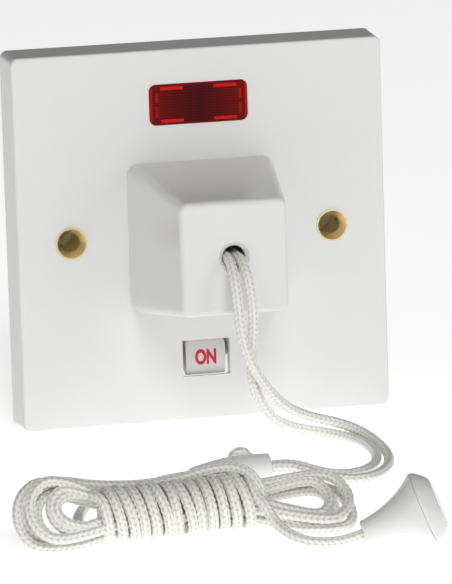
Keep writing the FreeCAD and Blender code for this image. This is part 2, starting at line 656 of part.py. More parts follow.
CONNECTOR_LENGTH = 17.6
CONNECTOR_TIP = Vector(-19.5, -66.9, 2.84)
CONNECTOR_RISE = math.radians(2.25)       # it lies on its waist, narrow tip a little lower
CONNECTOR_YAW = math.radians(-1.1)
connector_way = Vector(math.cos(CONNECTOR_YAW), math.sin(CONNECTOR_YAW), 0)
connector_side = Vector(-math.sin(CONNECTOR_YAW), math.cos(CONNECTOR_YAW), 0)
connector_axis = connector_way * math.cos(CONNECTOR_RISE) + UP * math.sin(CONNECTOR_RISE)
CONNECTOR_MOUTH = CONNECTOR_TIP + connector_axis * CONNECTOR_LENGTH

STRAND_FRONT = [
    (-1.2, -17.0, 43.0), (-1.2, -26.0, 43.0), (-1.35, -33.4, 42.6), (-1.4, -36.9, 39.3), (-1.1, -38.2, 34.0),
    (-0.8, -38.9, 27.5), (0.8, -39.0, 21.5), (4.0, -37.6, 15.9), (7.8, -35.0, 11.2), (12.4, -32.0, 7.5),
    (18.0, -30.2, 5.2), (23.6, -31.4, 3.8), (27.4, -36.6, 2.3), (28.6, -44.5, 1.2), (28.0, -54.0, 1.15),
    (25.6, -64.0, 1.12), (20.6, -73.4, 1.12), (14.2, -76.2, 1.15), (8.4, -73.4, 1.9), (4.6, -70.2, 3.0),
]
STRAND_REAR = [
    (1.2, -17.0, 43.0), (1.2, -26.0, 43.0), (1.4, -32.8, 42.4), (1.8, -36.0, 39.4), (2.4, -36.9, 34.5),
    (2.6, -36.8, 28.5), (2.0, -36.2, 22.5), (2.1, -35.4, 16.9), (3.6, -34.2, 11.8), (6.5, -32.2, 7.2),
    (11.0, -30.2, 4.0), (16.4, -29.6, 2.5), (21.4, -31.0, 1.6), (25.2, -36.4, 1.15), (26.3, -44.6, 1.12),
    (25.4, -54.0, 1.12), (22.8, -62.6, 1.12), (18.6, -68.8, 1.12), (13.0, -70.6, 1.15), (8.0, -68.6, 2.1),
    (4.8, -67.0, 3.2),
]
LAST_RUN = connector_axis * 3.6
mouth_front = CONNECTOR_MOUTH - connector_side * STRAND_X
mouth_rear = CONNECTOR_MOUTH + connector_side * STRAND_X
front_route = STRAND_FRONT + [tuple(mouth_front + LAST_RUN), tuple(mouth_front)]
rear_route = STRAND_REAR + [tuple(mouth_rear + LAST_RUN), tuple(mouth_rear)]
save("cord_strand_front", tube("cord_strand_front", front_route, CORD))
save("cord_strand_rear", tube("cord_strand_rear", rear_route, CORD))


def along(axis, origin, shape):
    """Place a shape drawn along +Z from the origin so that it runs along axis from a point."""
    placed = shape.copy()
    placed.Placement = FreeCAD.Placement(origin, FreeCAD.Rotation(UP, axis))
    return placed


def turned_profile(outline):
    """A solid of revolution from (radius, height) points."""
    points = [Vector(radius, 0, height) for radius, height in outline]
    face = Part.Face(Part.makePolygon(points + points[:1]))
    return face.revolve(Vector(0, 0, 0), Vector(0, 0, 1), 360)


TIP_RADIUS = 1.66
MOUTH_RADIUS = 2.95
BULGE = 0.85


def horn(bore, low, high, steps=10):
    """A slice of the connector's swelling shape between two heights, with a bore."""
    outline = [(bore, low)]
    for step in range(steps + 1):
        height = low + (high - low) * step / steps
        share = height / CONNECTOR_LENGTH
        radius = TIP_RADIUS + (MOUTH_RADIUS - TIP_RADIUS) * share + BULGE * math.sin(math.pi * share)
        outline.append((radius, height))
    outline.append((bore, high))
    return turned_profile(outline)


JOINT = 9.5                               # the two halves of the connector meet at this height
narrow_half = horn(CORD / 2, 0, JOINT)
wide_half = horn(2.4, JOINT, CONNECTOR_LENGTH)
knots = rod(2.35, (0, 0, JOINT), (0, 0, CONNECTOR_LENGTH))
save("connector_narrow_half", along(connector_axis, CONNECTOR_TIP, narrow_half))
save("connector_wide_half", along(connector_axis, CONNECTOR_TIP, wide_half))
save("connector_knots", along(connector_axis, CONNECTOR_TIP, knots))


# ---------------------------------------------------------------- hank of cord
HANK_CENTRE = Vector(-31.0, -114.3, 7.84)
HANK_HALF_LENGTH = 35.8
HANK_HALF_WIDTH = 8.7
HANK_HALF_DEPTH = 4.6
HANK_LEAN = 50.0                          # degrees from the surface, rising towards the plate
HANK_YAW = -1.4
HANK_ROUND = 4.4


def hank():
    corner = HANK_HALF_WIDTH - 0.05
    body = rounded_block(HANK_HALF_LENGTH, HANK_HALF_WIDTH, corner, -HANK_HALF_DEPTH, HANK_HALF_DEPTH)
    rims = [edge for edge in body.Edges if edge.BoundBox.YLength < 1e-6]
    body = body.makeFillet(HANK_ROUND, rims)
    body.rotate(Vector(0, 0, 0), Vector(1, 0, 0), HANK_LEAN - 90)
    body.rotate(Vector(0, 0, 0), UP, HANK_YAW)
    body.translate(HANK_CENTRE)
    return body


hank_solid = hank()
print("hank lowest", round(hank_solid.BoundBox.ZMin, 2))
save("cord_hank", hank_solid)
CORD_TO_HANK = [
    tuple(CONNECTOR_TIP), tuple(CONNECTOR_TIP - connector_axis * 3.4),
    (-28.6, -66.9, 1.7), (-35.0, -68.4, 1.12),
    (-41.0, -73.0, 1.15), (-45.4, -80.2, 1.12), (-48.2, -88.6, 1.3), (-50.2, -97.0, 2.6), (-52.0, -106.0, 5.4),
]
save("cord_to_hank", tube("cord_to_hank", CORD_TO_HANK, CORD).cut(hank_solid))


# ---------------------------------------------------------------- acorn pull
PULL_NECK = 2.62
PULL_RIM = 7.85
PULL_BELL = 13.1
PULL_CAP = 3.5
PULL_END = 4.85
PULL_WALL = 1.3
PULL_FOOT = Vector(3.6, -130.6, 0.02)     # where its neck touches the surface
pull_tilt = math.atan2(PULL_RIM - PULL_NECK, PULL_BELL)
pull_axis = ACROSS * math.cos(pull_tilt) + UP * math.sin(pull_tilt)
pull_normal = UP * math.cos(pull_tilt) - ACROSS * math.sin(pull_tilt)
PULL_BASE = PULL_FOOT + pull_normal * PULL_NECK


def bell_radius(height):
    share = height / PULL_BELL
    return PULL_NECK + (PULL_RIM - PULL_NECK) * (0.3 * share + 0.7 * share ** 2.6)


def acorn_bell(steps=14):
    outside = [(bell_radius(PULL_BELL * step / steps), PULL_BELL * step / steps) for step in range(steps + 1)]
    inside = []
    for step in range(4, steps + 1):
        height = PULL_BELL * step / steps
        inside.append((max(CORD / 2 + 0.15, bell_radius(height) - PULL_WALL), height))
    outline = [(CORD / 2, 0)] + outside + inside[::-1] + [(CORD / 2, inside[0][1])]
    return turned_profile(outline)


def acorn_cap():
    plug = bell_radius(PULL_BELL - 1.2) - PULL_WALL - 0.1
    rim = PULL_RIM - 0.05
    outline = [(0, PULL_BELL - 1.2), (plug, PULL_BELL - 1.2), (plug, PULL_BELL), (rim, PULL_BELL),
               (rim - 0.25, PULL_BELL + 0.8), (PULL_END + 1.1, PULL_BELL + PULL_CAP - 0.7),
               (PULL_END, PULL_BELL + PULL_CAP), (0, PULL_BELL + PULL_CAP)]
    return turned_profile(outline)


save("acorn_bell", along(pull_axis, PULL_BASE, acorn_bell()))
save("acorn_cap", along(pull_axis, PULL_BASE, acorn_cap()))
pull_knot = rod(2.3, (0, 0, PULL_BELL * 0.55), (0, 0, PULL_BELL - 1.6))
pull_stem = rod(CORD / 2, (0, 0, 0), (0, 0, PULL_BELL * 0.55))
save("acorn_knot", along(pull_axis, PULL_BASE, pull_knot.fuse(pull_stem)))
CORD_TO_PULL = [
    (-15.6, -118.6, 4.6), (-15.0, -123.6, 3.6), (-12.0, -127.8, 2.1), (-6.6, -130.4, 1.2),
    tuple(PULL_BASE - pull_axis * 3.5), tuple(PULL_BASE),
]
save("cord_to_pull", tube("cord_to_pull", CORD_TO_PULL, CORD).cut(hank_solid))

# A small loop of the doubled cord stands out of the joint between the connector's halves, at its back.
LOOP_RADIUS = 1.7
LOOP_STRAND = 1.0                         # the cord is squeezed a little thinner where it is bent this tight
LOOP_AT = 11.4                            # along the connector from its tip
LOOP_ASIDE = 1.2                          # behind the connector's middle
LOOP_FOOT = 6.0                           # height of the loop's two ends
loop_place = CONNECTOR_TIP + connector_axis * LOOP_AT + connector_side * LOOP_ASIDE
loop = Part.makeTorus(LOOP_RADIUS, LOOP_STRAND, Vector(0, 0, 0), UP, 0, 360, 180)
loop.rotate(Vector(0, 0, 0), Vector(1, 0, 0), 90)
loop.rotate(Vector(0, 0, 0), UP, math.degrees(CONNECTOR_YAW))
loop.translate(Vector(loop_place.x, loop_place.y, LOOP_FOOT))
for half in (narrow_half, wide_half, knots):
    loop = loop.cut(along(connector_axis, CONNECTOR_TIP, half))
save("connector_loop", loop)
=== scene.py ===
import json
import math
import random

import bmesh
import bpy
import numpy as np
from mathutils import Matrix, Quaternion, Vector


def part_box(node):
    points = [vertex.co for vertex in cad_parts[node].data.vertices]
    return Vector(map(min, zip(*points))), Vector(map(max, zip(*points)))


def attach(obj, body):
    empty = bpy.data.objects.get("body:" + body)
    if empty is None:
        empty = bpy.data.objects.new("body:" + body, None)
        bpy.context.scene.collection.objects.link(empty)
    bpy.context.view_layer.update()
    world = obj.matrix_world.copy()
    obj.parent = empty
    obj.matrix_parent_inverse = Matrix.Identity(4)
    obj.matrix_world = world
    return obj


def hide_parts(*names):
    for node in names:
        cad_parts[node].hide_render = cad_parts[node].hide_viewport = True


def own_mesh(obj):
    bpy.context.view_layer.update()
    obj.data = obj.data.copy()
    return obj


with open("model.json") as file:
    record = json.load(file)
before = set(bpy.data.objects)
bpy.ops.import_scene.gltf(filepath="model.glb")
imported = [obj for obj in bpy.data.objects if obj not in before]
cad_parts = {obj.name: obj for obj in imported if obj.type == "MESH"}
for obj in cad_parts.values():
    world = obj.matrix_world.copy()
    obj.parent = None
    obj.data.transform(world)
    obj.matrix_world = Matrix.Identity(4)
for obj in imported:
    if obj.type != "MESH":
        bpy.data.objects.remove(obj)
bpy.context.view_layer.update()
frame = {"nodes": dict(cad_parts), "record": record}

MM = 0.001
nodes = frame["nodes"]
plate_low, plate_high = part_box("faceplate")
PLATE_CENTRE = Vector((0, 0, (plate_low[2] + plate_high[2]) / 2))


def link(obj):
    bpy.context.scene.collection.objects.link(obj)
    return obj


def shade_smooth(mesh):
    mesh.polygons.foreach_set("use_smooth", [True] * len(mesh.polygons))


# ---------------------------------------------------------------- materials
def principled(name, colour, roughness, **extra):
    """A new material with a Principled shader, returned with its node tree."""
    material = bpy.data.materials.new(name)
    material.use_nodes = True
    tree = material.node_tree
    shader = tree.nodes["Principled BSDF"]
    shader.inputs["Base Color"].default_value = (*colour, 1)
    shader.inputs["Roughness"].default_value = roughness
    for key, value in extra.items():
        shader.inputs[key.replace("_", " ")].default_value = value
    return material, tree, shader


def noise(tree, scale, detail=4.0, stretch=(1, 1, 1)):
    """Noise over the object's own coordinates; scale is in features per metre."""
    place = tree.nodes.new("ShaderNodeTexCoord")
    mapping = tree.nodes.new("ShaderNodeMapping")
    mapping.inputs["Scale"].default_value = stretch
    texture = tree.nodes.new("ShaderNodeTexNoise")
    texture.inputs["Scale"].default_value = scale
    texture.inputs["Detail"].default_value = detail
    tree.links.new(place.outputs["Object"], mapping.inputs["Vector"])
    tree.links.new(mapping.outputs["Vector"], texture.inputs["Vector"])
    return texture.outputs["Fac"]


def ramp(tree, value, stops):
    """A colour ramp from (position, colour) stops."""
    node = tree.nodes.new("ShaderNodeValToRGB")
    elements = node.color_ramp.elements
    while len(elements) < len(stops):
        elements.new(0.5)
    for element, (position, colour) in zip(elements, stops):
        element.position = position
        element.color = (*colour, 1)
    tree.links.new(value, node.inputs["Fac"])
    return node.outputs["Color"]


def bump(tree, shader, height, strength, distance):
    node = tree.nodes.new("ShaderNodeBump")
    node.inputs["Strength"].default_value = strength
    node.inputs["Distance"].default_value = distance
    tree.links.new(height, node.inputs["Height"])
    tree.links.new(node.outputs["Normal"], shader.inputs["Normal"])


def varied(colour, share):
    return tuple(c * share for c in colour)


def moulded(name, colour, roughness, grain=0.0, **extra):
    """Moulded plastic: faint mottling, uneven gloss and, where asked, a fine grain."""
    material, tree, shader = principled(name, colour, roughness, **extra)
    mottle = noise(tree, 90)
    tint = ramp(tree, mottle, [(0.2, varied(colour, 0.985)), (0.8, varied(colour, 1.01))])
    tree.links.new(tint, shader.inputs["Base Color"])
    gloss = ramp(tree, noise(tree, 260), [(0.2, (roughness * 0.93,) * 3), (0.8, (roughness * 1.07,) * 3)])
    tree.links.new(gloss, shader.inputs["Roughness"])
    if grain:
        bump(tree, shader, noise(tree, 2600, 3), grain, 0.00002)
    return material


def metal(name, colour, roughness, streak=(1, 1, 1)):
    """Turned, rolled or drawn metal with tool marks along one direction."""
    material, tree, shader = principled(name, colour, roughness, Metallic=1.0)
    marks = noise(tree, 1400, 5, streak)
    tint = ramp(tree, marks, [(0.25, varied(colour, 0.82)), (0.75, varied(colour, 1.06))])
    tree.links.new(tint, shader.inputs["Base Color"])
    dull = ramp(tree, noise(tree, 420), [(0.3, (roughness * 0.7,) * 3), (0.7, (roughness * 1.5,) * 3)])
    tree.links.new(dull, shader.inputs["Roughness"])
    bump(tree, shader, marks, 0.12, 0.00003)
    return material


def braided_fibre():
    """White nylon yarn, with painted shade making it darker and warmer in the hollows between stitches, and a
    soft sheen.
    """
    material, tree, shader = principled("cord_braid", (0.88, 0.875, 0.83), 0.36)
    shader.inputs["Sheen Weight"].default_value = 0.25
    shader.inputs["Subsurface Weight"].default_value = 0.15
    shader.inputs["Subsurface Radius"].default_value = (0.0006, 0.00055, 0.0005)
    relief = tree.nodes.new("ShaderNodeAttribute")
    relief.attribute_name = "relief"
    # painted shade: the low parts of the stitch relief, the hollows between stitches, get a darker, warmer
    # colour
    tint = ramp(tree, relief.outputs["Fac"], [(0.0, (0.36, 0.34, 0.28)), (0.3, (0.80, 0.79, 0.73)),
                                              (1.0, (0.98, 0.978, 0.955))])
    tree.links.new(tint, shader.inputs["Base Color"])
    bump(tree, shader, noise(tree, 7000, 3), 0.25, 0.00004)
    return material


def knotted_fibre():
    """The same yarn on a plain CAD piece, its stitches drawn by crossing waves, with painted shade darkening
    the gaps between them.
    """
    material, tree, shader = principled("cord_knot", (0.80, 0.79, 0.73), 0.45)
    place = tree.nodes.new("ShaderNodeTexCoord")
    bands = []
    for tilt in (40, -40):
        mapping = tree.nodes.new("ShaderNodeMapping")
        mapping.inputs["Rotation"].default_value = (math.radians(tilt),) * 3
        wave = tree.nodes.new("ShaderNodeTexWave")
        wave.inputs["Scale"].default_value = 260
        wave.inputs["Distortion"].default_value = 0.6
        tree.links.new(place.outputs["Object"], mapping.inputs["Vector"])
        tree.links.new(mapping.outputs["Vector"], wave.inputs["Vector"])
        bands.append(wave.outputs["Fac"])
    crossing = tree.nodes.new("ShaderNodeMath")
    crossing.operation = "MULTIPLY"
    tree.links.new(bands[0], crossing.inputs[0])
    tree.links.new(bands[1], crossing.inputs[1])
    # the stitch pattern is the yarn's own; its darker gaps, where the waves are low, are painted shade
    tint = ramp(tree, crossing.outputs[0], [(0.0, (0.55, 0.53, 0.46)), (0.5, (0.88, 0.87, 0.82))])
    tree.links.new(tint, shader.inputs["Base Color"])
    bump(tree, shader, crossing.outputs[0], 0.5, 0.0002)
    return material


def share_of_half(tree, value, middle, half):
    """How far a coordinate lies from the middle, as a share of the half size."""
    offset = tree.nodes.new("ShaderNodeMath")
    offset.operation = "SUBTRACT"
    offset.inputs[1].default_value = middle
    tree.links.new(value, offset.inputs[0])
    away = tree.nodes.new("ShaderNodeMath")
    away.operation = "ABSOLUTE"
    tree.links.new(offset.outputs[0], away.inputs[0])
    share = tree.nodes.new("ShaderNodeMath")
    share.operation = "DIVIDE"
    share.inputs[1].default_value = half
    tree.links.new(away.outputs[0], share.inputs[0])
    return share.outputs[0]


def times(tree, first, second):
    node = tree.nodes.new("ShaderNodeMath")
    node.operation = "MULTIPLY"
    tree.links.new(first, node.inputs[0])
    tree.links.new(second, node.inputs[1])
    return node.outputs[0]


def mixed(tree, kind, factor, first, second):
    """Two colours mixed; the factor is a number or a socket, the second a colour or a socket."""
    node = tree.nodes.new("ShaderNodeMix")
    node.data_type = "RGBA"
    node.blend_type = kind
    if isinstance(factor, (int, float)):
        node.inputs["Factor"].default_value = factor
    else:
        tree.links.new(factor, node.inputs["Factor"])
    tree.links.new(first, node.inputs["A"])
    if isinstance(second, tuple):
        node.inputs["B"].default_value = (*second, 1)
    else:
        tree.links.new(second, node.inputs["B"])
    return node.outputs["Result"]


def red_lens():
    """Deep red plastic: painted shade darkens its middle and stripes its fine level ribs; its bright bars and
    rim are painted highlights.
    """
    material, tree, shader = principled("red_lens", (0.20, 0.003, 0.003), 0.24)
    heights = [vertex.co.z for vertex in nodes["neon_lens"].data.vertices]
    place = tree.nodes.new("ShaderNodeTexCoord")
    split = tree.nodes.new("ShaderNodeSeparateXYZ")
    tree.links.new(place.outputs["Object"], split.inputs["Vector"])
    across = share_of_half(tree, split.outputs["X"], 0.0, LENS_HALF[0] * MM)
    upwards = share_of_half(tree, split.outputs["Z"], (min(heights) + max(heights)) / 2, LENS_HALF[1] * MM)
    # painted shade: the lens is darker towards its middle
    tint = ramp(tree, across, [
        (0.0, (0.085, 0.003, 0.003)), (0.45, (0.13, 0.003, 0.003)), (0.78, (0.20, 0.004, 0.004))])
    # painted shade: level stripes stand in for the light and shade on the lens's fine ribs
    level = tree.nodes.new("ShaderNodeMath")
    level.operation = "MULTIPLY"
    level.inputs[1].default_value = 2 * math.pi / (LENS_RIB * MM)
    tree.links.new(split.outputs["Z"], level.inputs[0])
    wave = tree.nodes.new("ShaderNodeMath")
    wave.operation = "SINE"
    tree.links.new(level.outputs[0], wave.inputs[0])
    rib_shade_stripes = ramp(tree, wave.outputs[0], [(0.0, (0.62, 0.62, 0.62)), (0.9, (1, 1, 1))])
    colour = mixed(tree, "MULTIPLY", 1.0, tint, rib_shade_stripes)
    none = (0.0, 0.0, 0.0)
    full = (1.0, 1.0, 1.0)
    # painted highlights: bright bars along the lens near its top and bottom edges
    long_highlight_x = ramp(tree, across, [(0.30, none), (0.32, full), (0.76, full), (0.78, none)])
    long_highlight_z = ramp(tree, upwards, [(0.70, none), (0.72, full), (0.86, full), (0.88, none)])
    colour = mixed(tree, "MIX", times(tree, long_highlight_x, long_highlight_z), colour, (0.60, 0.012, 0.010))
    # painted highlights: shorter bright bars near both ends
    end_highlight_x = ramp(tree, across, [(0.81, none), (0.82, full), (0.87, full), (0.88, none)])
    end_highlight_z = ramp(tree, upwards, [(0.08, none), (0.12, full), (0.58, full), (0.62, none)])
    colour = mixed(tree, "MIX", times(tree, end_highlight_x, end_highlight_z), colour, (0.34, 0.008, 0.007))
    # painted highlights: a brighter rim, stronger at the ends than along the top and bottom
    rim_highlight_x = ramp(tree, across, [(0.925, none), (0.95, full)])
    rim_highlight_z = ramp(tree, upwards, [(0.90, none), (0.94, full)])
    colour = mixed(tree, "MIX", rim_highlight_x, colour, (0.40, 0.008, 0.008))
    colour = mixed(tree, "MIX", rim_highlight_z, colour, (0.26, 0.005, 0.005))
    tree.links.new(colour, shader.inputs["Base Color"])
    shader.inputs["Specular IOR Level"].default_value = 0.08
    return material


LENS_HALF = (11.35, 4.65)
LENS_RIB = 0.62
WHITE = (0.80, 0.80, 0.785)
LOOKS = {
    "white_urea": moulded("white_urea", WHITE, 0.24),
    "brass": metal("brass", (0.90, 0.76, 0.46), 0.34, (1, 8, 1)),
    "red_lens": red_lens(),
    "white_nylon": moulded("white_nylon", (0.80, 0.80, 0.76), 0.45, 0.05),
    "flag_white": moulded("flag_white", (0.70, 0.68, 0.655), 0.34),
    "lamp_glass": moulded("lamp_glass", (0.90, 0.86, 0.80), 0.08),
    "nickel": metal("nickel", (0.68, 0.66, 0.62), 0.30),
    "resistor_enamel": moulded("resistor_enamel", (0.62, 0.44, 0.26), 0.40),
    "lead_sleeving": moulded("lead_sleeving", (0.70, 0.70, 0.66), 0.55, 0.05),
    "grey_moulding": moulded("grey_moulding", (0.60, 0.60, 0.58), 0.50, 0.12),
    "zinc_steel": metal("zinc_steel", (0.66, 0.66, 0.64), 0.33, (1, 6, 1)),
    "spring_steel": metal("spring_steel", (0.50, 0.50, 0.49), 0.30),
    "copper": metal("copper", (0.78, 0.42, 0.27), 0.32, (1, 1, 6)),
    "silver": metal("silver", (0.84, 0.83, 0.80), 0.22),
    "cord_braid": braided_fibre(),
    "milky_plastic": moulded("milky_plastic", (0.83, 0.83, 0.815), 0.12),
}
milky_shader = LOOKS["milky_plastic"].node_tree.nodes["Principled BSDF"]
milky_shader.inputs["Subsurface Weight"].default_value = 0.25
milky_shader.inputs["Subsurface Radius"].default_value = (0.002,) * 3

knot_look = knotted_fibre()
SLOT_OF = {part["node"]: part["material_slot"] for part in frame["record"]["subparts"]}
for node_name, node in nodes.items():
    if SLOT_OF.get(node_name) in LOOKS:
        node.data.materials.clear()
        look = LOOKS[SLOT_OF[node_name]]
        node.data.materials.append(knot_look if SLOT_OF[node_name] == "cord_braid" else look)


# ---------------------------------------------------------------- cord routes, in millimetres
ACROSS = Vector((0.9745, -0.2243, 0))      # level, and nearly the picture's own left to right
UP = Vector((0, 0, 1))
CORD = 2.2
STRAND_X = 1.2
CONNECTOR_LENGTH = 17.6
CONNECTOR_TIP = Vector((-19.5, -66.9, 2.84))
CONNECTOR_RISE = math.radians(2.25)
CONNECTOR_YAW = math.radians(-1.1)
connector_way = Vector((math.cos(CONNECTOR_YAW), math.sin(CONNECTOR_YAW), 0))
connector_side = Vector((-math.sin(CONNECTOR_YAW), math.cos(CONNECTOR_YAW), 0))
connector_axis = connector_way * math.cos(CONNECTOR_RISE) + UP * math.sin(CONNECTOR_RISE)
CONNECTOR_MOUTH = CONNECTOR_TIP + connector_axis * CONNECTOR_LENGTH
LAST_RUN = connector_axis * 3.6

STRAND_FRONT = [
    (-1.2, -17.0, 43.0), (-1.2, -26.0, 43.0), (-1.35, -33.4, 42.6), (-1.4, -36.9, 39.3), (-1.1, -38.2, 34.0),
    (-0.8, -38.9, 27.5), (0.8, -39.0, 21.5), (4.0, -37.6, 15.9), (7.8, -35.0, 11.2), (12.4, -32.0, 7.5),
    (18.0, -30.2, 5.2), (23.6, -31.4, 3.8), (27.4, -36.6, 2.3), (28.6, -44.5, 1.2), (28.0, -54.0, 1.15),
    (25.6, -64.0, 1.12), (20.6, -73.4, 1.12), (14.2, -76.2, 1.15), (8.4, -73.4, 1.9), (4.6, -70.2, 3.0),
]
STRAND_REAR = [
    (1.2, -17.0, 43.0), (1.2, -26.0, 43.0), (1.4, -32.8, 42.4), (1.8, -36.0, 39.4), (2.4, -36.9, 34.5),
    (2.6, -36.8, 28.5), (2.0, -36.2, 22.5), (2.1, -35.4, 16.9), (3.6, -34.2, 11.8), (6.5, -32.2, 7.2),
    (11.0, -30.2, 4.0), (16.4, -29.6, 2.5), (21.4, -31.0, 1.6), (25.2, -36.4, 1.15), (26.3, -44.6, 1.12),
    (25.4, -54.0, 1.12), (22.8, -62.6, 1.12), (18.6, -68.8, 1.12), (13.0, -70.6, 1.15), (8.0, -68.6, 2.1),
    (4.8, -67.0, 3.2),
]
mouth_front = CONNECTOR_MOUTH - connector_side * STRAND_X
mouth_rear = CONNECTOR_MOUTH + connector_side * STRAND_X
front_route = [Vector(p) for p in STRAND_FRONT] + [mouth_front + LAST_RUN, mouth_front]
rear_route = [Vector(p) for p in STRAND_REAR] + [mouth_rear + LAST_RUN, mouth_rear]

# The hank lies nearly along X. It stands steeply at its left end and lies flatter at its right end.
HANK_CENTRE = Vector((-31.0, -114.3, 6.9))
hank_along = Vector((61.0, -1.4, -2.6)).normalized()
HANK_HALF = 35.8
LEAN_LEFT = 62.0
LEAN_RIGHT = 36.0
LIFTS = ((12.0, 1.3), (-16.0, -0.6))        # places along the hank, and how far it is raised there
LIFT_REACH = 9.0
WRAP_LEFT = -17.6
WRAP_RIGHT = 13.8
WRAP_TURNS = 13
TURN_POINTS = 14
WRAP_DEEP = 4.9
WRAP_START = -20.0          # degrees; 0 is the front of the waist, and the turns go down it
FLOOR_REST = 1.13
WRAP_WIDE = (5.0, 5.5)      # at the left end and the right end of the turns
SIZE_WANDER = 0.055
SLANT = 0.15                # how far a turn leans along the hank, as a share of its height
SLANT_WANDER = 0.09
RUN = (-15, -5, 5, 15)      # where the straight stretches of a loop have points
NEAR_BEND = 1.5             # the strands lie further apart towards the bends
ROUND_BEND = 1.7            # and furthest apart round them
# each loop: reach left, reach right, half opening left and right, lane across, lane in front
LOOPS = [
    (35.0, 35.6, 8.4, 7.4, 2.9, -1.6), (33.0, 34.2, 6.9, 6.4, 2.9, 1.4),
    (31.0, 32.0, 5.6, 5.6, 1.0, -1.1), (28.6, 30.2, 4.8, 4.9, 1.0, 1.3),
]


def on_hank(u, v, w):
    """A point u along the hank, v across its leaning width and w out of its front."""
    share = (u + HANK_HALF) / (2 * HANK_HALF)
    lean = math.radians(LEAN_LEFT + (LEAN_RIGHT - LEAN_LEFT) * share)
    level = Vector((-hank_along.y, hank_along.x, 0)).normalized()
    wide = level * math.cos(lean) + UP * math.sin(lean)
    front = -level * math.sin(lean) + UP * math.cos(lean)
    lift = sum(height * math.exp(-((u - at) / LIFT_REACH) ** 2) for at, height in LIFTS)
    point = HANK_CENTRE + hank_along * u + wide * v + front * w + UP * lift
    point.z = max(point.z, FLOOR_REST)
    return point


def loop_points(left, right, open_left, open_right, lane, front):
    """One long oval of the hank: top run to the right, bend, lower run to the left, bend."""
    points = []
    for side, reach, opening in ((1, right, open_right), (-1, left, open_left)):
        for along in RUN:
            points.append(on_hank(side * along, side * lane, front))
        neck = reach - opening
        points.append(on_hank(side * (RUN[-1] + neck) / 2, side * (lane + opening) / 2, front * NEAR_BEND))
        for degrees in (75, 45, 15, -15, -45, -75):
            turn = math.radians(degrees)
            u = neck + opening * math.cos(turn)
            points.append(on_hank(side * u, side * opening * math.sin(turn), front * ROUND_BEND))
        points.append(on_hank(side * (RUN[-1] + neck) / 2, -side * (lane + opening) / 2, front * NEAR_BEND))
    return points


def locking_strand():
    """Round the left end, over the top of the turns, down their right end and back into the bundle."""
    over = [
        (-23.0, -4.8, -3.6), (-28.6, -5.6, -3.2), (-33.2, -2.6, -2.8), (-34.0, 2.4, -2.4), (-30.6, 6.6, -1.8),
        (-25.0, 7.6, -1.2), (-18.6, 6.7, -0.8), (-12.0, 6.5, -0.9), (-6.0, 6.3, -0.4), (-0.5, 6.5, 0.6),
        (4.6, 6.9, 1.8), (8.8, 6.5, 3.2), (12.1, 5.0, 4.6), (14.3, 2.2, 5.2), (15.6, -1.0, 4.2),
        (12.6, -2.4, 1.6), (6.0, -2.0, 0.2), (-4.0, -2.0, 0.1), (-13.0, -2.2, 0.3), (-19.0, -3.2, 1.6),
        (-23.6, -3.8, 2.6), (-27.0, -2.2, 2.8), (-27.6, 1.0, 2.6), (-25.0, 3.4, 2.2), (-19.6, 3.6, 0.4),
    ]
    return [on_hank(*point) for point in over]


def wrap_points():
    """The turns round the hank's waist, left to right, no two quite alike."""
    wander = random.Random(7)
    sizes = [1 + wander.uniform(-SIZE_WANDER, SIZE_WANDER) for _ in range(WRAP_TURNS + 2)]
    slants = [SLANT + wander.uniform(-SLANT_WANDER, SLANT_WANDER) for _ in range(WRAP_TURNS + 2)]
    points = [on_hank(-19.4, 2.9, 3.4), on_hank(-17.9, 1.2, 4.6)]
    steps = WRAP_TURNS * TURN_POINTS
    for step in range(steps + 1):
        number, part = divmod(step / TURN_POINTS, 1)
        number = int(number)
        size = sizes[number] * (1 - part) + sizes[number + 1] * part
        slant = slants[number] * (1 - part) + slants[number + 1] * part
        turn = math.radians(WRAP_START) - 2 * math.pi * step / TURN_POINTS
        share = step / steps
        wide = WRAP_WIDE[0] + (WRAP_WIDE[1] - WRAP_WIDE[0]) * share
        v = wide * size * math.sin(turn)
        u = WRAP_LEFT + (WRAP_RIGHT - WRAP_LEFT) * share - slant * v
        points.append(on_hank(u, v, WRAP_DEEP * math.cos(turn)))
    return points + [on_hank(15.2, -4.0, 5.0)]


CORD_TO_HANK = [
    CONNECTOR_TIP, CONNECTOR_TIP - connector_axis * 3.4, (-28.6, -66.9, 1.7), (-35.0, -68.4, 1.12),
    (-41.0, -73.0, 1.15), (-45.4, -80.2, 1.12), (-48.2, -88.6, 1.3), (-50.2, -97.0, 2.6),
    (-52.0, -106.0, 4.4),
]
PULL_NECK = 2.62
PULL_RIM = 7.85
PULL_BELL = 13.1
PULL_CAP = 3.5
PULL_END = 4.85
PULL_FOOT = Vector((3.6, -130.6, 0.02))
pull_tilt = math.atan2(PULL_RIM - PULL_NECK, PULL_BELL)
pull_axis = ACROSS * math.cos(pull_tilt) + UP * math.sin(pull_tilt)
pull_normal = UP * math.cos(pull_tilt) - ACROSS * math.sin(pull_tilt)
PULL_BASE = PULL_FOOT + pull_normal * PULL_NECK
CORD_TO_PULL = [
    (-14.4, -123.6, 4.6), (-12.6, -126.8, 2.9), (-9.8, -129.3, 1.7), (-5.6, -130.5, 1.15),
    PULL_BASE - pull_axis * 3.5, PULL_BASE,
]


# ---------------------------------------------------------------- braided cord
COLUMNS = 6                 # columns of stitches round the cord, leaning to one side and the other in turn
STITCH_PITCH = 1.25
STITCH_LEAN = 0.75          # how far a stitch climbs across its column, in pitches
RING_STEP = 0.25
RING_SIDES = 30
CORE_RADIUS = 0.92
STITCH_HEIGHT = 0.27
STITCH_GROOVE = 0.25        # how much of the height is left between two columns
STITCH_ROUND = 0.6          # below 1 the stitches are plump


